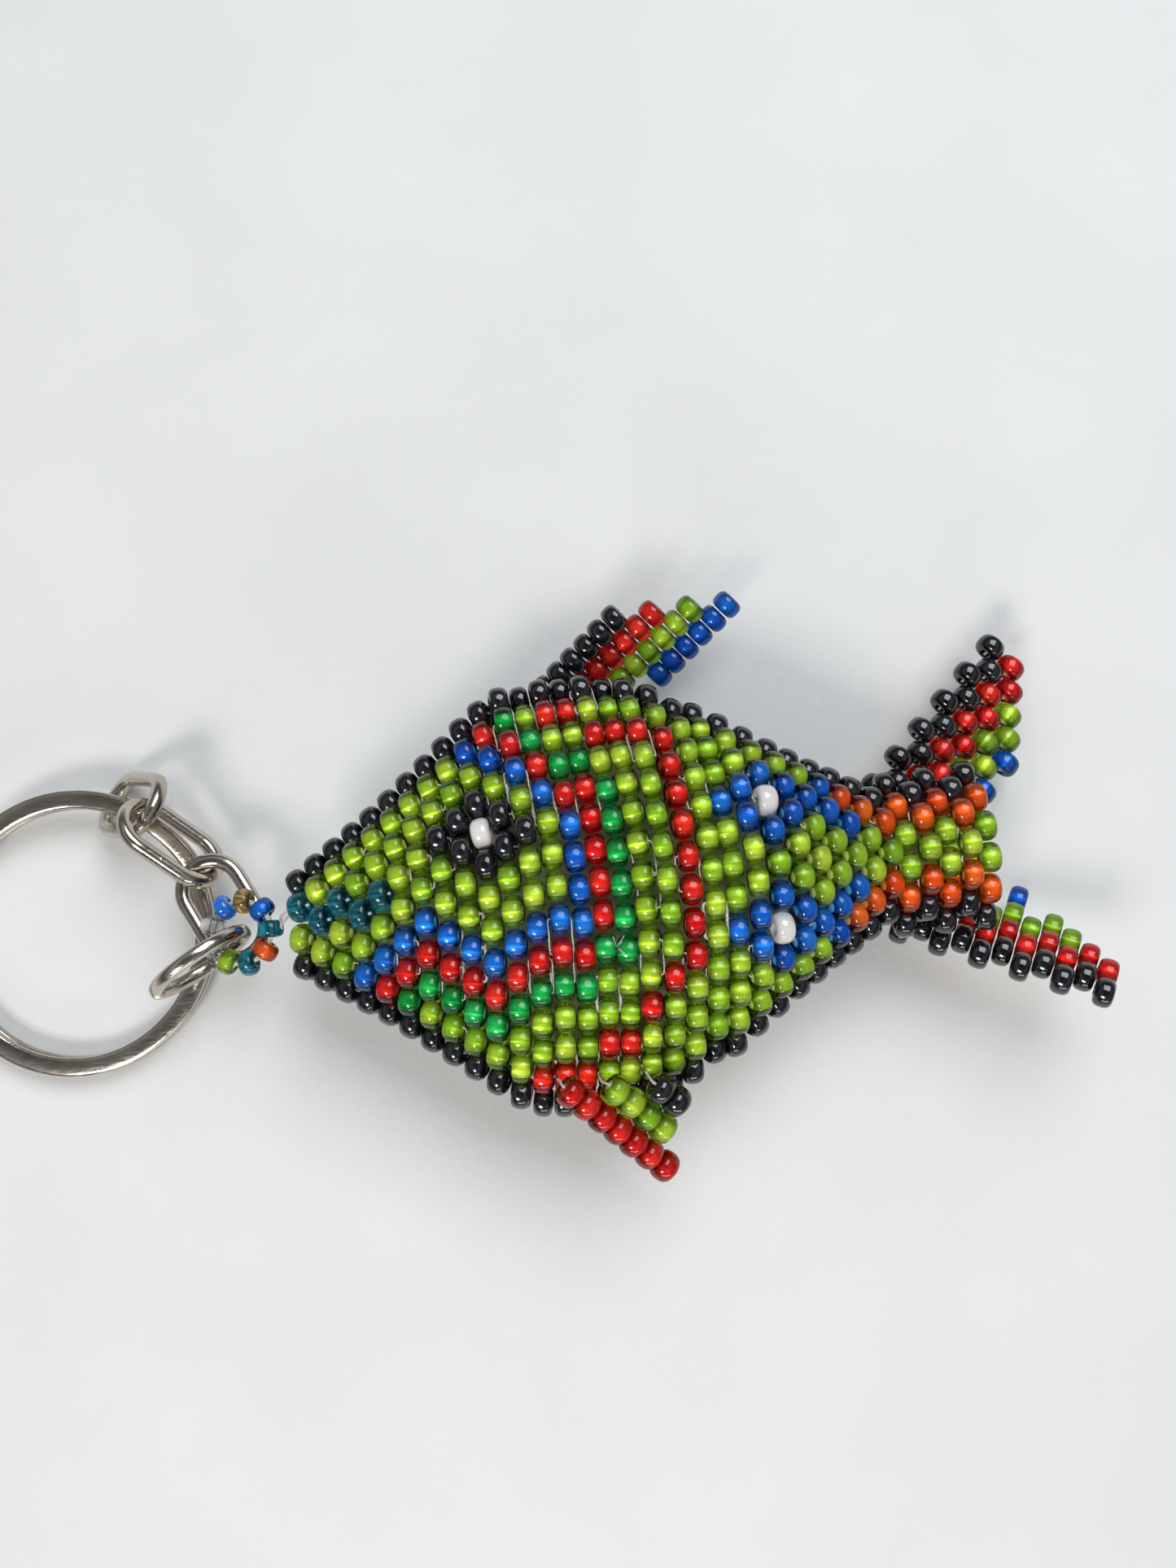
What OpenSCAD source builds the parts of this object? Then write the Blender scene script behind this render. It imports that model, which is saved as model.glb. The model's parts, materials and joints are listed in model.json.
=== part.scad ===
// Key ring with a fish sewn from glass seed beads.
// The fish lies on its side: +X runs from nose to tail, +Y to the back fin, +Z up.
// The origin is the centre of the split ring, on the surface that everything lies on.

/* [Beads] */
// Outer diameter of a seed bead
bead_od = 2.5; // [2.3:0.05:2.5]
// Length of a seed bead along its hole
bead_len = 1.48; // [1.4:0.02:1.48]
// Diameter of the hole through a seed bead
bead_hole = 0.9; // [0.6:0.1:1.1]
// Distance between neighbouring beads in a row
bead_pitch = 2.6; // [2.6:0.05:2.7]

/* [Body] */
// Distance between rows along the front two thirds of the body
front_row_pitch = 1.74; // [1.74:0.02:1.8]
// Distance between rows where the body narrows to the tail
rear_row_pitch = 1.52; // [1.5:0.02:1.6]
// Distance between rows of the tail stem
stem_row_pitch = 1.66; // [1.64:0.02:1.7]
// How far each row's ends lean towards the nose at the widest row
row_bow = 1.5; // [0:0.1:1.6]
// Place of the nose along and across from the ring's centre
nose_x = 20.6; // [20.4:0.1:22]
// Sideways place of the fish's centre line
nose_y = -2.25; // [-2.6:0.05:-1.9]
// Height of the fish's middle plane
mid_z = 9.4; // [9.3:0.1:10]

/* [Fins] */
// Distance between beads along a fin string
fin_bead_pitch = 1.7; // [1.66:0.02:1.8]
// Distance between the rows of a tail lobe
lobe_row_pitch = 1.68; // [1.66:0.02:1.8]

/* [Thread] */
// Diameter of the sewing thread
thread_d = 0.24; // [0.15:0.01:0.26]

/* [Rings and chain] */
// Outer diameter of the split ring
ring_od = 25; // [24.8:0.1:25.1]
// Width of the split ring's flat wire
ring_wire_w = 1.5; // [1.3:0.05:1.5]
// Thickness of the split ring's flat wire
ring_wire_h = 0.95; // [0.8:0.05:0.95]
// Length of a chain link over its wire
link_length = 10.4; // [10.2:0.1:10.6]
// Width of a chain link over its wire
link_width = 6.4; // [6.3:0.1:6.6]
// Diameter of the chain links' wire
link_wire = 1.3; // [1:0.05:1.35]
// Outer diameter of the jump ring
jump_od = 9.6; // [9.4:0.1:9.8]
// Diameter of the jump ring's wire
jump_wire = 1.2; // [1:0.05:1.25]

/* [Hidden] */
$fn = 48;

// Colours
black = [0.03, 0.03, 0.04];
teal = [0.05, 0.45, 0.58];
lime = [0.70, 0.85, 0.20];
green = [0.0, 0.45, 0.15];
red = [0.85, 0.08, 0.06];
blue = [0.0, 0.28, 0.68];
orange = [0.95, 0.35, 0.05];
white = [0.93, 0.90, 0.86];

// One string per row of the near face, from the back ridge to the belly ridge; the far face
// repeats it. A bar marks an end bead that sits on the ridge itself and belongs to both faces.
// K black, T teal, L lime, G green, R red, B blue, E eye, W eye centre,
// F flower blue, C flower centre, O orange.
chart = ["KTLK", "KLTLK", "KLTLLK", "KLLTLBK", "KLLTLBRK", "KLLLLBRGK", "KLLLLBRGLK",
    "KLLELLBRGLK", "KLLEELLBRGLK", "KBLEWELLBRGLK", "KRBLEELLBRGLLK", "KGRBLELLBRGLLRK|",
    "|KLGRBLLLBRGLLRK", "KRLGRBBBBRGLLRK|", "|KRLGRRRRRGLLRLK", "KLRLGGGGGGLLRLK|",
    "|KLRLLLLLLLLRLLK", "KLRLLLLLLLRLLLK|", "KLRRRRRRRRLLLK", "KLLLLLLLLLLLK",
    "|KLLLFLLLFLLLK", "KLLFFLLFFLLK", "KLFCFLFCFLK", "KLFFLLFFLK", "KLFLLLFLK", "KFFLLFFK",
    "KOFLFOK", "KOLLOK", "KOLOK", "|KOLLOK|", "KOLOK", "|KOLLOK|", "KOLOK", "|KOLLOK|"];
row_count = len(chart);

// Flatness of a face: the straight distance across a row over its length along the beads
flatness_at_row = [[1, 0.86], [5, 0.86], [10, 0.92], [11, 0.925], [12, 0.91], [15, 0.93],
    [17, 0.91], [18, 0.885], [19, 0.905], [20, 0.89], [22, 0.85], [24, 0.82], [26, 0.82],
    [28, 0.86], [34, 0.90]];

function starts_on_ridge(s) = s[0] == "|" ? 1 : 0;
function ends_on_ridge(s) = s[len(s) - 1] == "|" ? 1 : 0;
function bead_count(r) = len(chart[r - 1]) - starts_on_ridge(chart[r - 1]) - ends_on_ridge(chart[r - 1]);
function bead_colour(r, k) = chart[r - 1][k + starts_on_ridge(chart[r - 1])];
function back_gap(r) = bead_pitch / 2 * (1 - starts_on_ridge(chart[r - 1]));
function belly_gap(r) = bead_pitch / 2 * (1 - ends_on_ridge(chart[r - 1]));

// Half angle of the arc whose chord over its length is f, from the series of the sine
function half_angle(f) = sqrt(10 * (1 - sqrt(1 - 1.2 * (1 - f)))) * 180 / PI;

function row_x(r) = nose_x + front_row_pitch * (min(r, 24) - 0.1)
    + rear_row_pitch * max(0, min(r, 28) - 24) + stem_row_pitch * max(0, r - 28);
function face_length(r) = (bead_count(r) - 1) * bead_pitch;
function chord(r) = face_length(r) * lookup(r, flatness_at_row);
function widest() = chord(15) / 2;

// A point of the near face of row r: v runs from 1 at the back ridge to -1 at the belly ridge,
// and depth is measured inwards from the middle of the beads
function face_point(r, v, depth = 0) =
    let (angle = half_angle(lookup(r, flatness_at_row)), radius = chord(r) / 2 / sin(angle),
        tilt = asin((back_gap(r) - belly_gap(r)) / chord(r)),
        u = (radius - depth) * sin(angle * v),
        h = (radius - depth) * cos(angle * v) - radius * cos(angle),
        y = u * cos(tilt) - h * sin(tilt),
        z = u * sin(tilt) + h * cos(tilt) + (back_gap(r) + belly_gap(r)) / 2)
    [row_x(r) - row_bow * chord(r) / 2 / widest() * pow(2 * y / chord(r), 2), y, z];

function bead_v(r, k) = 1 - 2 * k / (bead_count(r) - 1);
function unit(v) = v / norm(v);

// Direction of a bead's hole: along the body and square to its row
function bead_axis(r, k) =
    let (v = bead_v(r, k), first = r == 1 ? 1 : r == row_count ? r - 2 : r - 1,
        last = r == 1 ? 3 : r == row_count ? r : r + 1,
        along = face_point(last, v) - face_point(first, v),
        across = unit(face_point(r, v + 0.05) - face_point(r, v - 0.05)))
    unit(along - (along * across) * across);

module bead() {
    bulge = 0.98;
    rotate_extrude()
    intersection() {
        translate([bead_od / 2 - bulge, 0]) circle(bulge);
        translate([bead_hole / 2, -bead_len / 2]) square([bead_od, bead_len]);
    }
}

module point_along(axis) {
    rotate([0, acos(axis.z), atan2(axis.y, axis.x)]) children();
}

module place_fish() {
    translate([0, nose_y, mid_z]) children();
}

// All body beads of one colour letter in a run of rows, on both faces
module body_beads(letter, first_row = 1, last_row = row_count) {
    place_fish()
    for (r = [first_row:last_row], k = [0:bead_count(r) - 1])
        if (bead_colour(r, k) == letter) {
            p = face_point(r, bead_v(r, k));
            a = bead_axis(r, k);
            translate(p) point_along(a) bead();
            if (p.z > 0.01)
                translate([p.x, p.y, -p.z]) point_along([a.x, a.y, -a.z]) bead();
        }
}

module edge_beads_black() { color(black) body_beads("K"); }
module nose_beads_teal() { color(teal) body_beads("T"); }
module head_beads_lime() { color(lime) body_beads("L", 1, 13); }
module middle_beads_lime() { color(lime) body_beads("L", 14, 20); }
module rear_beads_lime() { color(lime) body_beads("L", 21); }
module stripe_beads_green() { color(green) body_beads("G"); }
module stripe_beads_red() { color(red) body_beads("R"); }
module stripe_beads_blue() { color(blue) body_beads("B"); }
module eye_beads_black() { color(black) body_beads("E"); }
module eye_centre_white() { color(white) body_beads("W"); }
module flower_beads_blue() { color(blue) body_beads("F"); }
module flower_centres_white() { color(white) body_beads("C"); }
module stem_beads_orange() { color(orange) body_beads("O"); }

// The stuffing and the thread that lines the beads are lofted through every other row
// and kept inside the three rows round each ring
function inside_rows(r, v, depth) =
    let (near = [for (q = [r - 1:r + 1]) face_point(q, v, depth)],
        ys = [for (p = near) p.y], zs = [for (p = near) p.z])
    [near[1].x, v > 0 ? min(ys) : max(ys), max(0.2, min(zs))];
function ring_side(r, depth) = [for (v = [0.8:-0.2:-0.81]) inside_rows(r, v, depth)];
function flipped(ring) = [for (i = [len(ring) - 1:-1:0]) [ring[i].x, ring[i].y, -ring[i].z]];
function loft_ring(r, depth) = concat(ring_side(r, depth), flipped(ring_side(r, depth)));
loft_rows = [for (r = [2:2:row_count - 2]) r];
ring_points = 18;

function flat(lists) = [for (l = lists) each l];
function ring_quads(rings, start, turn) = [for (i = [0:rings - 2], j = [0:ring_points - 1])
    let (a = start + i * ring_points + j, b = start + i * ring_points + (j + 1) % ring_points,
        c = b + ring_points, d = a + ring_points)
    turn ? [d, c, b, a] : [a, b, c, d]];

module stuffing_core() {
    core_depth = 2.1;
    n = len(loft_rows);
    color([0.9, 0.88, 0.82])
    place_fish()
    polyhedron(
        points = flat([for (r = loft_rows) loft_ring(r, core_depth)]),
        faces = concat(ring_quads(n, 0, true),
            [[for (j = [0:ring_points - 1]) j]],
            [[for (j = [ring_points - 1:-1:0]) (n - 1) * ring_points + j]]));
}

module thread_lining() {
    outer_depth = 1.42;
    inner_depth = 1.8;
    n = len(loft_rows);
    inner = n * ring_points;
    end = (n - 1) * ring_points;
    color([0.92, 0.91, 0.88])
    place_fish()
    polyhedron(
        points = flat(concat([for (r = loft_rows) loft_ring(r, outer_depth)],
            [for (r = loft_rows) loft_ring(r, inner_depth)])),
        faces = concat(ring_quads(n, 0, true), ring_quads(n, inner, false),
            [for (j = [0:ring_points - 1]) let (k = (j + 1) % ring_points)
                [j, k, inner + k, inner + j]],
            [for (j = [0:ring_points - 1]) let (k = (j + 1) % ring_points)
                [end + k, end + j, inner + end + j, inner + end + k]]));
}

// Fins: strings of beads side by side. Each string has a root, and all share one direction.
function heading(turn, rise) = [cos(rise) * cos(turn), cos(rise) * sin(turn), sin(rise)];

dorsal_root = [43.9, 18.25, -3.65];
dorsal_direction = heading(37, 15.3);
dorsal_step = [3.35, 0.2, -0.7];
dorsal_beads = 6;

ventral_root = [42.3, -15.65, 5.5];
ventral_direction = heading(-45.9, -21);
ventral_step = [3.5, -0.3, -0.25];
ventral_beads = [7, 4, 2];

module string_of_beads(root, dir, count) {
    for (i = [0:count - 1])
        translate(root + dir * fin_bead_pitch * i) point_along(dir) bead();
}

module string_thread(root, dir, count) {
    past_bead = 0.85;
    translate(root - dir * past_bead) point_along(dir)
    cylinder(d = thread_d, h = fin_bead_pitch * (count - 1) + 2 * past_bead);
}

module dorsal_string(n) {
    place_fish() string_of_beads(dorsal_root + n * dorsal_step, dorsal_direction, dorsal_beads);
}

module ventral_string(n) {
    place_fish()
    string_of_beads(ventral_root + n * ventral_step, ventral_direction, ventral_beads[n]);
}

module dorsal_fin_black() { color(black) dorsal_string(0); }
module dorsal_fin_red() { color(red) dorsal_string(1); }
module dorsal_fin_lime() { color(lime) dorsal_string(2); }
module dorsal_fin_blue() { color(blue) dorsal_string(3); }
module dorsal_fin_thread() {
    color(white) place_fish()
    for (n = [0:3])
        string_thread(dorsal_root + n * dorsal_step, dorsal_direction, dorsal_beads);
}

module ventral_fin_red() { color(red) ventral_string(0); }
module ventral_fin_lime() { color(lime) ventral_string(1); }
module ventral_fin_black() { color(black) ventral_string(2); }
module ventral_fin_thread() {
    color(white) place_fish()
    for (n = [0:2])
        string_thread(ventral_root + n * ventral_step, ventral_direction, ventral_beads[n]);
}

// Tail lobes: rows of beads stacked outwards, every other row shifted by half a bead.
// Each string across the lobe has its own run of rows.
upper_root = [70.9, 6.15, -3];
upper_turn = 42.5;
upper_rise = -6.7;
upper_lean = -15.2;
lower_root = [71.3, -6.15, -3.05];
lower_turn = -25.6;
lower_rise = 14.2;
lower_lean = -48.2;

// Lean turns the flat of a lobe about its length
module lobe_string(root, turn, rise, lean, side, m, rows) {
    out = heading(turn, rise);
    level = [side * sin(turn) * cos(lean), -side * cos(turn) * cos(lean), sin(lean)];
    in = unit(level - (level * out) * out);
    place_fish()
    for (j = rows)
        translate(root + out * lobe_row_pitch * j + in * bead_pitch * (m + (j % 2) / 2))
        point_along(out) bead();
}

module upper_string(m, rows) {
    lobe_string(upper_root, upper_turn, upper_rise, upper_lean, 1, m, rows);
}
module lower_string(m, rows) {
    lobe_string(lower_root, lower_turn, lower_rise, lower_lean, -1, m, rows);
}

module upper_tail_black() { color(black) upper_string(0, [0:10]); }
module upper_tail_red() { color(red) upper_string(1, [2:10]); }
module upper_tail_lime() { color(lime) upper_string(2, [3:8]); }
module upper_tail_blue() { color(blue) upper_string(3, [4, 6]); }
module lower_tail_black() { color(black) lower_string(0, [0:10]); }
module lower_tail_red() { color(red) lower_string(1, [3:10]); }
module lower_tail_lime() { color(lime) lower_string(2, [4:8]); }
module lower_tail_blue() { color(blue) lower_string(3, [5]); }

// The loop of nine beads on the nose, threaded round the jump ring
loop_centre = [16.2, -2.2, 8.5];
loop_radius = 2.6;
loop_bead_scale = 0.86;
loop_tilt = -10;
loop_count = 9;

module on_loop() {
    translate(loop_centre) rotate([0, loop_tilt, 0]) children();
}

module loop_bead(n) {
    on_loop() rotate([0, 0, 360 / loop_count * n])
    translate([loop_radius, 0, 0]) rotate([90, 0, 0]) scale(loop_bead_scale) bead();
}

module loop_bead_teal_1() { color(teal) loop_bead(0); }
module loop_bead_royal_2() { color(blue) loop_bead(1); }
module loop_bead_amber_3() { color([0.85, 0.7, 0.35]) loop_bead(2); }
module loop_bead_sky_4() { color([0.1, 0.45, 0.85]) loop_bead(3); }
module loop_bead_clear_5() { color([0.9, 0.9, 0.9]) loop_bead(4); }
module loop_bead_clear_6() { color([0.9, 0.9, 0.9]) loop_bead(5); }
module loop_bead_lime_7() { color(lime) loop_bead(6); }
module loop_bead_teal_8() { color(teal) loop_bead(7); }
module loop_bead_orange_9() { color(orange) loop_bead(8); }
module loop_thread() {
    color(white) on_loop()
    rotate_extrude() translate([loop_radius, 0]) circle(d = thread_d * 1.5);
}

// Round wire ring of oval outline: two straight sides and two half turns
module half_turn(radius) {
    rotate_extrude(angle = 180) translate([radius, 0]) circle(d = link_wire);
}

module oval_link() {
    radius = (link_width - link_wire) / 2;
    side = link_length - link_width;
    translate([side / 2, 0, 0]) rotate([0, 0, -90]) half_turn(radius);
    translate([-side / 2, 0, 0]) rotate([0, 0, 90]) half_turn(radius);
    for (y = [-radius, radius])
        translate([-side / 2, y, 0]) rotate([0, 90, 0]) cylinder(d = link_wire, h = side);
}

// Each link's centre, and how it is turned: roll about its length, rise of its end, heading
link_1_at = [6.4, 10.4, 4.1];
link_1_turn = [-12.5, -47.7, -18.8];
link_2_at = [10.3, 6.3, 6.5];
link_2_turn = [-53.9, 21.3, -42.5];
link_3_at = [14.2, 0.1, 6];
link_3_turn = [0, -1, -63.7];
jump_at = [12.6, -4.2, 8.5];
jump_heading = 29.8;

module chain_link(at, turn) {
    color([0.72, 0.69, 0.64]) translate(at) rotate(turn) oval_link();
}

module chain_link_1() { chain_link(link_1_at, link_1_turn); }
module chain_link_2() { chain_link(link_2_at, link_2_turn); }
module chain_link_3() { chain_link(link_3_at, link_3_turn); }

module jump_ring() {
    color([0.74, 0.71, 0.66])
    translate(jump_at) rotate([90, 0, jump_heading])
    rotate_extrude() translate([(jump_od - jump_wire) / 2, 0]) circle(d = jump_wire);
}

// Split ring: two turns of flat wire, one on the other, that cross over in a short ramp
ring_gap = 0.06;
ring_bevel = 0.22;
ring_tilt = 5;
ring_high_side = 60;
ring_end_at = 21;
ramp = 25;
station_turn = 5;

// Outline of the wire: radius and height of each corner
ring_section = let (r = ring_od / 2, w = ring_wire_w, h = ring_wire_h, c = ring_bevel)
    [[r - w, 0], [r - c, 0], [r, c], [r, h - c], [r - c, h], [r - w, h]];

function ring_rise(turn) = (ring_wire_h + ring_gap) * max(0, min(1, (turn - 360 + ramp) / ramp));

module ring_wire() {
    corners = len(ring_section);
    last_turn = 720 - ramp;
    steps = last_turn / station_turn;
    polyhedron(
        points = [for (i = [0:steps], q = ring_section)
            let (turn = i * station_turn + ring_end_at + ramp, z = q.y + ring_rise(i * station_turn))
            [q.x * cos(turn), q.x * sin(turn), z]],
        faces = concat([[for (j = [0:corners - 1]) j]],
            [for (i = [0:steps - 1], j = [0:corners - 1])
                let (a = corners * i + j, b = corners * i + (j + 1) % corners)
                each [[a, a + corners, b + corners], [a, b + corners, b]]],
            [[for (j = [corners - 1:-1:0]) corners * steps + j]]));
}

module split_ring() {
    lean_edge = [-ring_od / 2, 0, 0];
    color([0.76, 0.73, 0.68])
    rotate([0, 0, ring_high_side]) translate(lean_edge) rotate([0, -ring_tilt, 0])
    translate(-lean_edge) rotate([0, 0, -ring_high_side]) ring_wire();
}

stuffing_core();
thread_lining();
edge_beads_black();
nose_beads_teal();
head_beads_lime();
middle_beads_lime();
rear_beads_lime();
stripe_beads_green();
stripe_beads_red();
stripe_beads_blue();
eye_beads_black();
eye_centre_white();
flower_beads_blue();
flower_centres_white();
stem_beads_orange();
dorsal_fin_black();
dorsal_fin_red();
dorsal_fin_lime();
dorsal_fin_blue();
dorsal_fin_thread();
ventral_fin_red();
ventral_fin_lime();
ventral_fin_black();
ventral_fin_thread();
upper_tail_black();
upper_tail_red();
upper_tail_lime();
upper_tail_blue();
lower_tail_black();
lower_tail_red();
lower_tail_lime();
lower_tail_blue();
loop_bead_teal_1();
loop_bead_royal_2();
loop_bead_amber_3();
loop_bead_sky_4();
loop_bead_clear_5();
loop_bead_clear_6();
loop_bead_lime_7();
loop_bead_teal_8();
loop_bead_orange_9();
loop_thread();
jump_ring();
chain_link_3();
chain_link_2();
chain_link_1();
split_ring();
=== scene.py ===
"""The looks of a key ring with a fish sewn from glass seed beads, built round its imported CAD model."""
import json
import math
import random

import bpy
import numpy as np
from mathutils import Matrix, Vector, noise


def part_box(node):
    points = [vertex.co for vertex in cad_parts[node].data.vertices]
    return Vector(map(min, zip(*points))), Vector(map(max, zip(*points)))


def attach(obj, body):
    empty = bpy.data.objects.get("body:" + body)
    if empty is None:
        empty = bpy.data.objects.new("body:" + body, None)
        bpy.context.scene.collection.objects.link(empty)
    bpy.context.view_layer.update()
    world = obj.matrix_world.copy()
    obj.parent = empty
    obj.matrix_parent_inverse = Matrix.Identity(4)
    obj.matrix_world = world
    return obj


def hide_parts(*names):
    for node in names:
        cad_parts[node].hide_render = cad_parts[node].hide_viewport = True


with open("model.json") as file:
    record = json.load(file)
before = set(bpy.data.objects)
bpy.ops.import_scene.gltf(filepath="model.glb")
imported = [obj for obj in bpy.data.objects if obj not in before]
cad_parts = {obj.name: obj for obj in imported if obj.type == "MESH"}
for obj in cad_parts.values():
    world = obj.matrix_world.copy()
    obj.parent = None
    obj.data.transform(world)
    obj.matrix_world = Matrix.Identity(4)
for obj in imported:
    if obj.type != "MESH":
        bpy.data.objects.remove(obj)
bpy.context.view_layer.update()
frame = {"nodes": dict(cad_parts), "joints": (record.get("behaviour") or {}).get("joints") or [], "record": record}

MM = 0.001
draw = random.Random(11)
NODES = frame["nodes"]
BODY_OF = {n: body for body, names in frame["record"]["behaviour"]["bodies"].items() for n in names}
SLOT_OF = {s["node"]: s["material_slot"] for s in frame["record"]["subparts"]}
JOINTS = {j["name"]: j for j in frame["joints"]}


# ---------------------------------------------------------------- mesh helpers

class Builder:
    """Collects vertices and faces, with a tone and a share of painted shade for each vertex."""

    def __init__(self):
        self.verts, self.faces, self.tones, self.depths = [], [], [], []
        self.count = 0

    def add(self, verts, faces, tone=0.5, depths=None):
        self.verts.append(np.asarray(verts, float))
        self.faces.extend([tuple(i + self.count for i in f) for f in faces])
        self.tones.extend([tone] * len(verts))
        self.depths.extend(depths or [0.0] * len(verts))
        self.count += len(verts)

    def make(self, name, material):
        mesh = bpy.data.meshes.new(name)
        mesh.from_pydata(np.vstack(self.verts).tolist(), [], self.faces)
        mesh.attributes.new("tone", "FLOAT", "POINT").data.foreach_set("value", self.tones)
        mesh.attributes.new("depth", "FLOAT", "POINT").data.foreach_set("value", self.depths)
        mesh.shade_smooth()
        mesh.materials.append(material)
        obj = bpy.data.objects.new(name, mesh)
        bpy.context.scene.collection.objects.link(obj)
        return obj


def grid_faces(rows, columns, close_rows=False):
    """Quads of a grid of rows by columns, where each row is a closed loop."""
    faces = []
    for i in range(rows if close_rows else rows - 1):
        j = (i + 1) % rows
        for k in range(columns):
            m = (k + 1) % columns
            faces.append((i * columns + k, i * columns + m, j * columns + m, j * columns + k))
    return faces


def side_axes(axis):
    """Two unit vectors square to axis and to each other."""
    helper = np.array([0.0, 0.0, 1.0]) if abs(axis[2]) < 0.9 else np.array([1.0, 0.0, 0.0])
    u = np.cross(axis, helper)
    u /= np.linalg.norm(u)
    return u, np.cross(axis, u)


def sweep(path, section, closed, normal=None):
    """A section carried along a path. section holds (across, up) pairs; up is normal where given."""
    path = np.asarray(path, float)
    n = len(path)
    rings = []
    side = None
    for i in range(n):
        ahead = path[(i + 1) % n] if closed or i < n - 1 else path[i]
        behind = path[i - 1] if closed or i > 0 else path[i]
        along = (ahead - behind) / np.linalg.norm(ahead - behind)
        if normal is not None:
            side = np.cross(normal, along)
        elif side is None:
            side = side_axes(along)[0]
        side = side - along * side.dot(along)
        side /= np.linalg.norm(side)
        up = np.cross(along, side)
        rings.append([path[i] + side * a + up * b for a, b in section])
    k = len(section)
    faces = grid_faces(n, k, closed)
    if not closed:
        faces.append(tuple(range(k))[::-1])
        faces.append(tuple((n - 1) * k + j for j in range(k)))
    return np.vstack(rings), [f[::-1] for f in faces]


def round_section(radius, sides, squareness=1.0, flat=1.0):
    """Points round a wire: 1.0 is a circle, less is squarer."""
    points = []
    for k in range(sides):
        t = 2 * math.pi * k / sides
        c, s = math.cos(t), math.sin(t)
        points.append((radius * math.copysign(abs(c) ** squareness, c),
                       radius * flat * math.copysign(abs(s) ** squareness, s)))
    return points


def smooth_path(points, steps):
    """A Catmull-Rom curve through the points."""
    p = [np.asarray(q, float) for q in points]
    p = [2 * p[0] - p[1]] + p + [2 * p[-1] - p[-2]]
    out = []
    for i in range(1, len(p) - 2):
        for s in range(steps):
            t = s / steps
            out.append(0.5 * (2 * p[i] + (p[i + 1] - p[i - 1]) * t
                              + (2 * p[i - 1] - 5 * p[i] + 4 * p[i + 1] - p[i + 2]) * t * t
                              + (3 * p[i] - p[i - 1] - 3 * p[i + 1] + p[i + 2]) * t ** 3))
    out.append(p[-2])
    return out


# ---------------------------------------------------------------- reading the CAD solids

def solids(node):
    """Vertices of each separate solid in a CAD node."""
    mesh = NODES[node].data
    co = np.empty(len(mesh.vertices) * 3)
    mesh.vertices.foreach_get("co", co)
    co = co.reshape(-1, 3)
    _, first, place = np.unique(np.round(co * 1e6).astype(np.int64), axis=0,
                                return_index=True, return_inverse=True)
    co = co[first]
    ends = np.empty(len(mesh.edges) * 2, np.int32)
    mesh.edges.foreach_get("vertices", ends)
    a, b = place.ravel()[ends].reshape(-1, 2).T
    label = np.arange(len(co))
    while True:
        low = label.copy()
        np.minimum.at(low, a, label[b])
        np.minimum.at(low, b, label[a])
        low = low[low]
        if (low == label).all():
            break
        label = low
    return [co[label == k] for k in np.unique(label)]


def principal(points):
    """Centre and axes of a solid, shortest axis first."""
    centre = points.mean(0)
    _, axes = np.linalg.eigh(np.cov((points - centre).T))
    return centre, axes.T


def measure_beads(node):
    """Centre, hole axis, radius and half length of each bead in a node."""
    beads = []
    for points in solids(node):
        centre, axes = principal(points)
        axis = axes[0] if axes[0][0] >= 0 else -axes[0]
        half = abs((points - centre) @ axis).max()
        radius = np.linalg.norm(np.cross(points - centre, axis), axis=1).max()
        beads.append((centre, axis, radius, half))
    return beads


BEADS = {n: measure_beads(n) for n in NODES if "bead" in n or n.startswith(("eye", "flower"))
         or (n.startswith(("dorsal", "ventral", "upper", "lower")) and "thread" not in n)}


# ---------------------------------------------------------------- materials

def new_material(name):
    material = bpy.data.materials.new(name)
    material.use_nodes = True
    tree = material.node_tree
    return material, tree, tree.nodes["Principled BSDF"]


def add_noise(tree, scale, detail=3.0, stretch=None):
    """A noise texture in the object's own coordinates, which are metres."""
    coords = tree.nodes.new("ShaderNodeTexCoord")
    texture = tree.nodes.new("ShaderNodeTexNoise")
    texture.inputs["Scale"].default_value = scale
    texture.inputs["Detail"].default_value = detail
    source = coords.outputs["Object"]
    if stretch:
        mapping = tree.nodes.new("ShaderNodeMapping")
        mapping.inputs["Scale"].default_value = stretch
        tree.links.new(source, mapping.inputs["Vector"])
        source = mapping.outputs["Vector"]
    tree.links.new(source, texture.inputs["Vector"])
    return texture.outputs["Fac"]


def add_range(tree, value, low, high, start=0.3, end=0.7):
    node = tree.nodes.new("ShaderNodeMapRange")
    for key, v in (("From Min", start), ("From Max", end), ("To Min", low), ("To Max", high)):
        node.inputs[key].default_value = v
    tree.links.new(value, node.inputs["Value"])
    return node.outputs["Result"]


def add_ramp(tree, value, stops):
    node = tree.nodes.new("ShaderNodeValToRGB")
    ramp = node.color_ramp
    while len(ramp.elements) < len(stops):
        ramp.elements.new(0.5)
    for element, (place, colour) in zip(ramp.elements, stops):
        element.position = place
        element.color = (*colour, 1.0)
    tree.links.new(value, node.inputs["Fac"])
    return node.outputs["Color"]


def add_mix(tree, factor, a, b, blend="MIX"):
    node = tree.nodes.new("ShaderNodeMix")
    node.data_type = "RGBA"
    node.blend_type = blend
    for socket, value in ((node.inputs[0], factor), (node.inputs[6], a), (node.inputs[7], b)):
        if isinstance(value, bpy.types.NodeSocket):
            tree.links.new(value, socket)
        elif isinstance(value, tuple):
            socket.default_value = (*value, 1.0)
        else:
            socket.default_value = value
    return node.outputs[2]


def add_bump(tree, shader, height, strength, distance):
    node = tree.nodes.new("ShaderNodeBump")
    node.inputs["Strength"].default_value = strength
    node.inputs["Distance"].default_value = distance
    tree.links.new(height, node.inputs["Height"])
    tree.links.new(node.outputs["Normal"], shader.inputs["Normal"])


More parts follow.
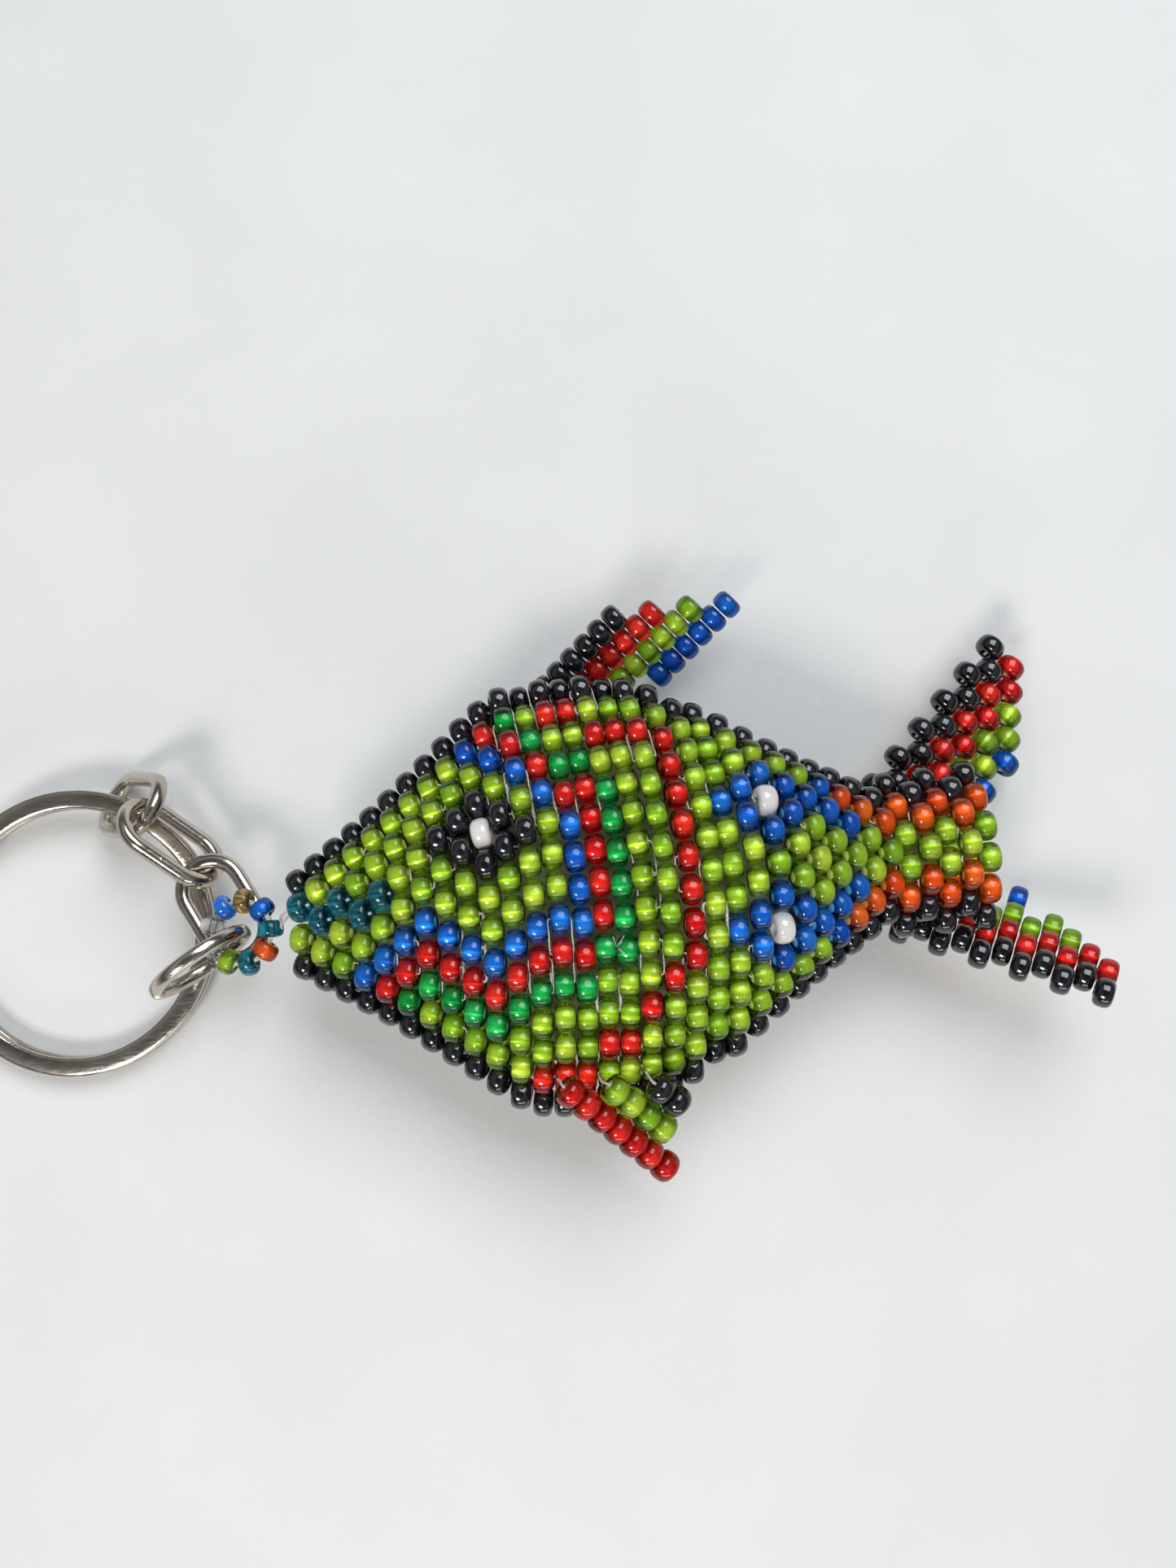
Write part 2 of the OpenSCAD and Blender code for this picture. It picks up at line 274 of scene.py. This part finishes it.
def attribute(tree, name):
    node = tree.nodes.new("ShaderNodeAttribute")
    node.attribute_name = name
    return node.outputs["Fac"]


def bead_colour(tree, light, dark):
    """A colour that varies from bead to bead, with faint streaks in the glass."""
    by_bead = add_ramp(tree, attribute(tree, "tone"), ((0.0, dark), (1.0, light)))
    streak = add_range(tree, add_noise(tree, 1100, 2.0), 0.0, 0.3)
    return add_mix(tree, streak, by_bead, dark)


SEE_THROUGH = set()


def glass_material(name, light, dark, roughness=0.03):
    """Clear coloured glass, with painted shade that darkens it towards the ends of a bead, standing in for the
    longer way light takes through the glass there.
    """
    material, tree, shader = new_material(name)
    # Painted shade: the glass colour darkens towards the bead's ends, following the per-vertex share of end shade
    end_shade_colour = tuple(c * 0.12 for c in dark)
    colour = add_mix(tree, attribute(tree, "depth"), bead_colour(tree, light, dark), end_shade_colour)
    tree.links.new(colour, shader.inputs["Base Color"])
    shader.inputs["Transmission Weight"].default_value = 0.88
    shader.inputs["IOR"].default_value = 1.5
    tree.links.new(add_range(tree, add_noise(tree, 700), roughness, roughness + 0.07),
                   shader.inputs["Roughness"])
    add_bump(tree, shader, add_noise(tree, 650, 1.0), 0.25, 0.00005)
    SEE_THROUGH.add(material)
    return material


def lining_material(name, light, dark):
    """The mirror coat in the hole of a silver-lined bead, seen in the colour of its glass."""
    material, tree, shader = new_material(name)
    tree.links.new(bead_colour(tree, light, dark), shader.inputs["Base Color"])
    shader.inputs["Metallic"].default_value = 0.4
    tree.links.new(add_range(tree, add_noise(tree, 2300), 0.25, 0.5), shader.inputs["Roughness"])
    add_bump(tree, shader, add_noise(tree, 1700, 2.0), 0.5, 0.00008)
    return material


def opaque_material(name, light, dark):
    material, tree, shader = new_material(name)
    tree.links.new(bead_colour(tree, light, dark), shader.inputs["Base Color"])
    shader.inputs["IOR"].default_value = 1.55
    shader.inputs["Coat Weight"].default_value = 0.6
    shader.inputs["Coat Roughness"].default_value = 0.03
    tree.links.new(add_range(tree, add_noise(tree, 900), 0.06, 0.16), shader.inputs["Roughness"])
    add_bump(tree, shader, add_noise(tree, 600, 1.0), 0.3, 0.00005)
    return material


def thread_material():
    material, tree, shader = new_material("sewing_thread")
    fibre = add_noise(tree, 5200, 3.0)
    colour = add_ramp(tree, fibre, ((0.3, (0.40, 0.37, 0.31)), (0.7, (0.78, 0.75, 0.69))))
    tree.links.new(colour, shader.inputs["Base Color"])
    tree.links.new(add_range(tree, fibre, 0.95, 0.7), shader.inputs["Roughness"])
    shader.inputs["Sheen Weight"].default_value = 0.3
    add_bump(tree, shader, fibre, 0.8, 0.00006)
    return material


def stuffing_material():
    material, tree, shader = new_material("stuffing_painted_shade")
    clump = add_noise(tree, 420, 6.0)
    # Painted shade: dark green-grey stands in for the shade inside the fish that shows between the beads
    colour = add_ramp(tree, clump, ((0.3, (0.035, 0.045, 0.02)), (0.7, (0.14, 0.15, 0.08))))
    tree.links.new(colour, shader.inputs["Base Color"])
    tree.links.new(add_range(tree, clump, 0.98, 0.85), shader.inputs["Roughness"])
    add_bump(tree, shader, add_noise(tree, 3000, 5.0), 0.9, 0.0002)
    return material


def steel_material():
    """Polished nickel-plated steel wire with fine rubbed marks and a few duller patches."""
    material, tree, shader = new_material("nickel_steel")
    patch = add_noise(tree, 260, 4.0)
    colour = add_ramp(tree, patch, ((0.3, (0.42, 0.37, 0.31)), (0.7, (0.62, 0.57, 0.50))))
    tree.links.new(colour, shader.inputs["Base Color"])
    shader.inputs["Metallic"].default_value = 1.0
    marks = add_noise(tree, 900, 5.0, (1.0, 6.0, 1.0))
    tree.links.new(add_range(tree, marks, 0.10, 0.26), shader.inputs["Roughness"])
    add_bump(tree, shader, marks, 0.25, 0.00004)
    return material


def floor_material():
    material, tree, shader = new_material("pale_board")
    mottle = add_noise(tree, 45, 5.0)
    colour = add_ramp(tree, mottle, ((0.25, (0.80, 0.80, 0.785)), (0.75, (0.86, 0.86, 0.85))))
    tree.links.new(colour, shader.inputs["Base Color"])
    tree.links.new(add_range(tree, mottle, 0.75, 0.9), shader.inputs["Roughness"])
    add_bump(tree, shader, add_noise(tree, 1500, 4.0), 0.25, 0.0002)
    return material


THREAD = thread_material()
STEEL = steel_material()
# Slot: the bead's own material, then the material of its lining where it has one
GLASS = {
    "black_bead": (opaque_material("black_glass", (0.010, 0.010, 0.014), (0.003, 0.003, 0.005)), None),
    "white_bead": (opaque_material("white_glass", (0.86, 0.82, 0.78), (0.72, 0.68, 0.64)), None),
    "sky_bead": (opaque_material("sky_glass", (0.01, 0.20, 0.78), (0.01, 0.15, 0.62)), None),
    "teal_bead": (glass_material("teal_glass", (0.03, 0.50, 0.66), (0.01, 0.33, 0.48)), None),
    "amber_bead": (glass_material("amber_glass", (0.88, 0.70, 0.32), (0.75, 0.52, 0.18)), None),
    "clear_bead": (glass_material("clear_glass", (0.95, 0.95, 0.95), (0.86, 0.87, 0.87)), None),
    "lime_bead": (glass_material("lime_glass", (0.46, 0.68, 0.03), (0.16, 0.36, 0.008)),
                  lining_material("lime_lining", (1.0, 1.0, 0.42), (0.85, 1.0, 0.22))),
    "green_bead": (glass_material("green_glass", (0.015, 0.42, 0.10), (0.0, 0.20, 0.03)),
                   lining_material("green_lining", (0.3, 1.0, 0.5), (0.1, 0.85, 0.3))),
    "red_bead": (glass_material("red_glass", (0.82, 0.02, 0.012), (0.50, 0.005, 0.004)),
                 lining_material("red_lining", (1.0, 0.35, 0.2), (1.0, 0.14, 0.1))),
    "blue_bead": (glass_material("blue_glass", (0.01, 0.17, 0.66), (0.0, 0.06, 0.36)),
                  lining_material("blue_lining", (0.25, 0.7, 1.0), (0.08, 0.45, 1.0))),
    "orange_bead": (glass_material("orange_glass", (0.94, 0.18, 0.01), (0.74, 0.07, 0.004)),
                    lining_material("orange_lining", (1.0, 0.62, 0.2), (1.0, 0.38, 0.08))),
}


def place(piece, body, slot, *nodes):
    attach(piece, body)
    if nodes:
        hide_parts(*nodes)
    return piece


# ---------------------------------------------------------------- beads

AROUND = 22


def bead_profile(radius, half, hole):
    """Closed outline of a rounded tube: fat barrel outside, plain hole inside."""
    shoulder = 0.5 * radius
    points = []
    steps = 9
    for i in range(steps + 1):
        t = math.pi * (i / steps - 0.5)
        c, s = math.cos(t), math.sin(t)
        points.append((shoulder + (radius - shoulder) * c ** 0.8, half * math.copysign(abs(s) ** 0.8, s)))
    lip = 0.12 * radius
    points += [(hole + lip * 0.3, half * 0.97), (hole, half * 0.8), (hole, -half * 0.8),
               (hole + lip * 0.3, -half * 0.97)]
    return points


def add_bead(builder, bead, tone):
    """One glass bead, with the small faults of a real one."""
    centre, axis, radius, half = bead
    u, v = side_axes(axis)
    lean = 0.03
    axis = axis + u * draw.uniform(-lean, lean) + v * draw.uniform(-lean, lean)
    axis /= np.linalg.norm(axis)
    u, v = side_axes(axis)
    size = draw.uniform(0.985, 1.0)
    oval = draw.uniform(0.0, 0.02)
    turn = draw.uniform(0, math.pi)
    profile = bead_profile(radius * size, half * draw.uniform(1.04, 1.12), radius * 0.3)
    rings = []
    for k in range(AROUND):
        t = 2 * math.pi * k / AROUND
        out = (u * math.cos(t) + v * math.sin(t)) * (1 - oval * math.cos(t - turn) ** 2)
        rings.append([centre + out * r + axis * z for r, z in profile])
    # Painted shade: the share grows towards both ends of the hole, where the glass is coloured darker
    depths = [min(1.0, abs(z) / half) ** 1.6 for r, z in profile] * AROUND
    faces = [f[::-1] for f in grid_faces(AROUND, len(profile), True)]
    builder.add(np.vstack(rings), faces, tone, depths)


def add_lining(builder, bead, tone):
    """The bright coat of a bead's hole: a tube with a rounded square outline."""
    centre, axis, radius, half = bead
    u, v = side_axes(axis)
    turn = draw.uniform(0, math.pi / 2)
    side = radius * draw.uniform(0.37, 0.43)
    length = half * 0.96
    sides = 12
    rings = []
    for z, grow in ((-length, 0.9), (-length * 0.9, 1.0), (length * 0.9, 1.0), (length, 0.9)):
        ring = []
        for a, b in round_section(side * grow, sides, 0.6):
            p = a * math.cos(turn) - b * math.sin(turn)
            q = a * math.sin(turn) + b * math.cos(turn)
            ring.append(centre + u * p + v * q + axis * z)
        rings.append(ring)
    faces = grid_faces(len(rings), sides)
    faces.append(tuple(range(sides))[::-1])
    faces.append(tuple((len(rings) - 1) * sides + j for j in range(sides)))
    builder.add(np.vstack(rings), faces, tone)


def make_beads(node):
    glass, lining = GLASS[SLOT_OF[node]]
    shells, coats = Builder(), Builder()
    for bead in BEADS[node]:
        tone = draw.random()
        add_bead(shells, bead, tone)
        if lining:
            add_lining(coats, bead, tone)
    shell = shells.make(node + "_glass", glass)
    shell.visible_shadow = glass not in SEE_THROUGH
    place(shell, BODY_OF[node], SLOT_OF[node], node)
    if lining:
        place(coats.make(node + "_lining", lining), BODY_OF[node], SLOT_OF[node])


for node in BEADS:
    make_beads(node)


# ---------------------------------------------------------------- thread

THREAD_R = 0.12 * MM
FINE_R = 0.065 * MM
ROOT_R = 0.1 * MM
FRAYED_R = 0.035 * MM
# Share of the row loops that show between the beads, and of those that are finely drawn
SHOWING = 0.16
FINE_SHARE = 0.85
# Distance between neighbouring beads of a row, and the longest strand at a fin's root
ROW_PITCH = 2.6 * MM
ROOT_REACH = 5.5 * MM
BODY_BEADS = [b for n in BEADS if BODY_OF[n] == "fish_body" for b in BEADS[n]]


def add_strand(builder, points, steps=4, radius=THREAD_R):
    verts, faces = sweep(smooth_path(points, steps), round_section(radius, 6), False)
    builder.add(verts, faces, draw.random())


def row_neighbours(beads, pitch):
    """Pairs of beads that lie side by side in one row."""
    centres = np.array([b[0] for b in beads])
    axes = np.array([b[1] for b in beads])
    gap = centres[None] - centres[:, None]
    apart = np.linalg.norm(gap, axis=2)
    along = abs((gap * axes[:, None]).sum(2)) / np.maximum(apart, 1e-9)
    near = (apart < pitch * 1.06) & (apart > pitch * 0.9) & (along < 0.3)
    return [(i, j) for i, j in zip(*np.nonzero(near)) if i < j]


def add_row_threads(builder, beads, middle, pitch):
    """The few loops that show between the bead ends, where one row is sewn to the next."""
    for i, j in row_neighbours(beads, pitch):
        a, b = beads[i], beads[j]
        axis = a[1] + b[1]
        axis /= np.linalg.norm(axis)
        halfway = (a[0] + b[0]) / 2
        out = halfway - middle(halfway)
        out = out - axis * out.dot(axis)
        out /= np.linalg.norm(out)
        reach = a[3] * 1.22
        if draw.random() > SHOWING:
            continue
        rise = draw.uniform(-0.9, 0.05) * MM
        radius = FINE_R if draw.random() < FINE_SHARE else THREAD_R
        for end in (-1, 1):
            step = axis * end
            add_strand(builder, [a[0] + step * a[3] * 0.5, a[0] + step * reach + out * rise * 0.5,
                                 halfway + step * reach + out * rise,
                                 b[0] + step * reach + out * rise * 0.5, b[0] + step * b[3] * 0.5], 3, radius)


def fish_middle(point):
    low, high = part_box("stuffing_core")
    return np.array([point[0], (low.y + high.y) / 2, (low.z + high.z) / 2])


def add_hole_threads(builder, beads):
    for centre, axis, radius, half in beads:
        offset = side_axes(axis)[0] * draw.uniform(-0.12, 0.12) * MM
        add_strand(builder, [centre - axis * half * 1.1, centre + offset, centre + axis * half * 1.1], 2)


def nearer_end(bead, point):
    """The end of a bead's hole that lies nearer to a point."""
    centre, axis, radius, half = bead
    side = 1 if (point - centre) @ axis > 0 else -1
    return centre + axis * half * 1.1 * side


def add_root_threads(builder, body):
    """A strand from each string's root bead to the body bead nearest to it, if it is near enough."""
    centres = np.array([b[0] for b in BODY_BEADS])
    for node in BEADS:
        if BODY_OF[node] != body:
            continue
        apart = [np.linalg.norm(centres - b[0], axis=1) for b in BEADS[node]]
        bead, gaps = min(zip(BEADS[node], apart), key=lambda pair: pair[1].min())
        if gaps.min() < ROOT_REACH:
            target = BODY_BEADS[gaps.argmin()]
            start = nearer_end(bead, target[0])
            end = nearer_end(target, start)
            bow = side_axes(bead[1])[0] * draw.uniform(-0.3, 0.3) * MM
            add_strand(builder, [bead[0], start, (start + end) / 2 + bow, end], 5, ROOT_R)


def add_loose_threads(builder):
    """The strands seen at the nose, and a cut end that has frayed out on the near face."""
    nose = BEADS["nose_beads_teal"]
    tip = min(nose, key=lambda b: b[0][0])
    loop_bead = min(BEADS["loop_bead_teal_1"], key=lambda b: b[0][0])
    for k in range(3):
        spread = np.array([0.0, draw.uniform(-0.5, 0.5), draw.uniform(-0.3, 0.4)]) * MM
        start = nearer_end(tip, loop_bead[0])
        add_strand(builder, [tip[0], start + spread * 0.4, (start + loop_bead[0]) / 2 + spread,
                             loop_bead[0] + np.array([0.9, 0.0, 0.0]) * MM + spread * 0.5], 5)
    greens = BEADS["stripe_beads_green"]
    near = [b for b in greens if b[0][2] > fish_middle(b[0])[2]]
    bead = sorted(near, key=lambda b: b[0][1])[len(near) // 2]
    root = nearer_end(bead, bead[0] + bead[1])
    for k in range(5):
        aim = np.array([draw.uniform(-0.2, 0.7), draw.uniform(-0.5, 0.5), 0.0]) * MM
        rise = np.array([0.0, 0.0, 1.0]) * MM
        add_strand(builder, [root - rise * 0.6, root + rise * 0.8 + aim * 0.4, root + rise * 1.25 + aim,
                             root + rise * draw.uniform(1.1, 1.5) + aim * 2.0], 5, FRAYED_R)


def make_threads():
    body_threads = Builder()
    add_row_threads(body_threads, BODY_BEADS, fish_middle, ROW_PITCH)
    add_hole_threads(body_threads, BEADS["nose_beads_teal"])
    add_loose_threads(body_threads)
    place(body_threads.make("body_stitching", THREAD), "fish_body", "thread", "thread_lining")

    for body, nodes in (("dorsal_fin", ("dorsal_fin_thread",)), ("ventral_fin", ("ventral_fin_thread",)),
                        ("upper_tail", ()), ("lower_tail", ())):
        builder = Builder()
        add_hole_threads(builder, [b for n in BEADS if BODY_OF[n] == body for b in BEADS[n]])
        add_root_threads(builder, body)
        place(builder.make(body + "_stitching", THREAD), body, "thread", *nodes)

    loop = Builder()
    centre, axes = principal(solids("loop_thread")[0])
    u, v = axes[1], axes[2]
    radius = np.linalg.norm(BEADS["loop_bead_teal_1"][0][0] - centre)
    for strand in (-1, 1):
        path = []
        for k in range(72):
            t = 2 * math.pi * k / 72
            r = radius + strand * 0.09 * MM * math.cos(4.5 * t)
            path.append(centre + (u * math.cos(t) + v * math.sin(t)) * r
                        + axes[0] * strand * 0.09 * MM * math.sin(4.5 * t))
        verts, faces = sweep(path, round_section(THREAD_R, 6), True)
        loop.add(verts, faces)
    place(loop.make("loop_strands", THREAD), "nose_loop", "thread", "loop_thread")


make_threads()


# ---------------------------------------------------------------- stuffing

def make_stuffing():
    """The stuffing keeps its CAD shape, with finer faces and a lumpy surface, and is coloured dark as painted
    shade.
    """
    source = NODES["stuffing_core"]
    mesh = source.data.copy()
    mesh.name = "stuffing"
    obj = bpy.data.objects.new("stuffing", mesh)
    bpy.context.scene.collection.objects.link(obj)
    mesh.materials.clear()
    mesh.materials.append(stuffing_material())
    weld = obj.modifiers.new("weld", "WELD")
    weld.merge_threshold = 0.00001
    refine = obj.modifiers.new("refine", "SUBSURF")
    refine.subdivision_type = "SIMPLE"
    refine.levels = refine.render_levels = 2
    graph = bpy.context.evaluated_depsgraph_get()
    fine = bpy.data.meshes.new_from_object(obj.evaluated_get(graph))
    obj.modifiers.clear()
    obj.data = fine
    lump = 0.5 * MM
    for vertex in fine.vertices:
        vertex.co += vertex.normal * lump * noise.noise(vertex.co * 500)
    fine.shade_smooth()
    place(obj, "fish_body", "stuffing", "stuffing_core")


make_stuffing()


# ---------------------------------------------------------------- rings and chain

def make_link(node):
    """An oval link of polished wire, soldered where its ends meet."""
    points = solids(node)[0]
    centre, axes = principal(points)
    local = (points - centre) @ axes.T
    low, high = local.min(0), local.max(0)
    centre = centre + axes.T @ ((low + high) / 2)
    wire, width, length = high - low
    bend = (width - wire) / 2
    straight = (length - width) / 2
    normal, across, along = axes
    path = []
    turns = 28
    for side in (1, -1):
        for k in range(turns + 1):
            t = math.pi * (k / turns - 0.5)
            path.append(centre + along * side * (straight + bend * math.cos(t))
                        + across * side * bend * math.sin(t))
    # The path runs round one end, then the other. The long sides get points of their own.
    full = []
    for i, p in enumerate(path):
        full.append(p)
        q = path[(i + 1) % len(path)]
        if np.linalg.norm(q - p) > straight:
            full += [p + (q - p) * s / 8 for s in range(1, 8)]
    verts, faces = sweep(full, round_section(wire / 2 * 0.995, 22, 0.86), True, normal)
    builder = Builder()
    builder.add(verts, faces)
    seam_at = centre + across * bend
    add_seam(builder, seam_at, along, across, wire / 2)
    place(builder.make(node + "_wire", STEEL), BODY_OF[node], "steel", node)


def add_seam(builder, centre, along, side, radius):
    """A low bead of solder round the wire, where its ends meet."""
    up = np.cross(along, side)
    width = 0.16 * MM
    rings = []
    for z, grow in ((-1, 0.985), (-0.5, 1.015), (0.5, 1.015), (1, 0.985)):
        rings.append([centre + along * z * width + (side * a + up * b) * grow
                      for a, b in round_section(radius * 0.99, 22, 0.86)])
    faces = grid_faces(4, 22)
    faces.append(tuple(range(22))[::-1])
    faces.append(tuple(3 * 22 + j for j in range(22)))
    builder.add(np.vstack(rings), faces)


def make_jump_ring():
    """An open ring of wire: its two cut ends nearly touch."""
    points = solids("jump_ring")[0]
    centre, axes = principal(points)
    wire = np.ptp((points - centre) @ axes[0])
    radius = np.linalg.norm(np.cross(points - centre, axes[0]), axis=1).max() - wire / 2
    straight_down = np.array([0.0, 0.0, -1.0])
    down = straight_down - axes[0] * straight_down.dot(axes[0])
    down /= np.linalg.norm(down)
    across = np.cross(axes[0], down)
    gap = math.radians(1.3)
    steps = 120
    path = []
    for k in range(steps + 1):
        t = gap + (2 * math.pi - 2 * gap) * k / steps
        path.append(centre + (down * math.cos(t) + across * math.sin(t)) * radius)
    verts, faces = sweep(path, round_section(wire / 2 * 0.995, 22, 0.8), False, axes[0])
    builder = Builder()
    builder.add(verts, faces)
    place(builder.make("jump_ring_wire", STEEL), "jump_ring", "steel", "jump_ring")


def make_split_ring():
    """Two turns of flat wire with rounded edges and plain cut ends, about the ring's own axis."""
    joint = JOINTS["split_ring_turn"]
    axis = np.array(joint["axis"], float)
    axis /= np.linalg.norm(axis)
    points = solids("split_ring")[0]
    on_axis = np.array(joint["pos_m"], float)
    height = (points - on_axis) @ axis
    radial = points - on_axis - np.outer(height, axis)
    outer = np.linalg.norm(radial, axis=1).max()
    inner = np.linalg.norm(radial, axis=1).min()
    low, high = height.min(), height.max()
    gap = 0.06 * MM
    wire_h = (high - low - gap) / 2
    middle_r = (outer + inner) / 2
    half_w = (outer - inner) / 2
    u = np.array([1.0, 0.0, 0.0]) - axis * axis[0]
    u /= np.linalg.norm(u)
    v = np.cross(axis, u)
    ramp = 25.0
    first = 21.0 + ramp
    last_turn = 720.0 - ramp
    steps = 348
    section = round_section(half_w, 20, 0.5, wire_h / 2 / half_w)
    rings = []
    for i in range(steps + 1):
        turn = last_turn * i / steps
        rise = (wire_h + gap) * max(0.0, min(1.0, (turn - 360 + ramp) / ramp))
        t = math.radians(turn + first)
        out = u * math.cos(t) + v * math.sin(t)
        rings.append([on_axis + out * (middle_r + a) + axis * (low + wire_h / 2 + rise + b)
                      for a, b in section])
    faces = grid_faces(steps + 1, 20)
    faces.append(tuple(range(20))[::-1])
    faces.append(tuple(steps * 20 + j for j in range(20)))
    builder = Builder()
    builder.add(np.vstack(rings), faces)
    place(builder.make("split_ring_wire", STEEL), "split_ring", "steel", "split_ring")


for link in ("chain_link_1", "chain_link_2", "chain_link_3"):
    make_link(link)
make_jump_ring()
make_split_ring()


# ---------------------------------------------------------------- floor, light, camera

def make_floor():
    builder = Builder()
    half = 0.6
    corners = [(-half, -half, 0), (half, -half, 0), (half, half, 0), (-half, half, 0)]
    builder.add(corners, [(0, 1, 2, 3)])
    floor = builder.make("floor", floor_material())


def area_light(name, place_mm, aim_mm, size_mm, watts, colour):
    data = bpy.data.lights.new(name, "AREA")
    data.shape = "RECTANGLE"
    data.size, data.size_y = (s * MM for s in size_mm)
    data.energy = watts
    data.color = colour
    light = bpy.data.objects.new(name, data)
    bpy.context.scene.collection.objects.link(light)
    light.location = Vector(place_mm) * MM
    light.rotation_euler = (Vector(aim_mm) - Vector(place_mm)).to_track_quat("-Z", "Y").to_euler()


def make_light():
    """A window at the lower left, a wide soft fill at the upper right and a low card in front.

    The world has bright and dark bands, which the rings and links mirror.
    """
    world = bpy.data.worlds.new("studio")
    world.use_nodes = True
    tree = world.node_tree
    background = tree.nodes["Background"]
    coords = tree.nodes.new("ShaderNodeTexCoord")
    split = tree.nodes.new("ShaderNodeSeparateXYZ")
    tree.links.new(coords.outputs["Generated"], split.inputs["Vector"])
    bands = add_ramp(tree, split.outputs["Z"], (
        (0.0, (0.75, 0.76, 0.78)), (0.3, (0.10, 0.10, 0.11)), (0.5, (0.30, 0.30, 0.31)),
        (0.75, (0.62, 0.64, 0.67)), (0.93, (0.16, 0.16, 0.17))))
    tree.links.new(bands, background.inputs["Color"])
    background.inputs["Strength"].default_value = 0.6
    bpy.context.scene.world = world
    aim = (45, 0, 5)
    area_light("window", (-120, -260, 330), aim, (150, 110), 0.8, (1.0, 0.98, 0.95))
    area_light("sky_fill", (180, 220, 380), aim, (300, 300), 1.35, (0.92, 0.96, 1.0))
    area_light("front_card", (40, -330, 120), aim, (260, 60), 0.2, (1.0, 1.0, 1.0))


def make_camera():
    """Looks down on the fish, leaning a little towards its belly."""
    place_mm = Vector((46.5, -9.5, 124.5))
    lean, heading = math.radians(8), math.radians(-6.9)
    back = Vector((0, -math.sin(lean), math.cos(lean)))
    right = Vector((math.cos(heading), math.sin(heading), 0))
    right = (right - back * right.dot(back)).normalized()
    up = back.cross(right)
    data = bpy.data.cameras.new("camera")
    data.sensor_fit = "VERTICAL"
    data.sensor_height = 36.0
    data.lens = 31.76
    data.clip_start = 0.005
    camera = bpy.data.objects.new("camera", data)
    bpy.context.scene.collection.objects.link(camera)
    turn = Matrix((right, up, back)).transposed().to_4x4()
    camera.matrix_world = Matrix.Translation(place_mm * MM) @ turn
    bpy.context.scene.camera = camera


make_floor()
make_light()
make_camera()
bpy.context.scene.view_settings.view_transform = "Standard"
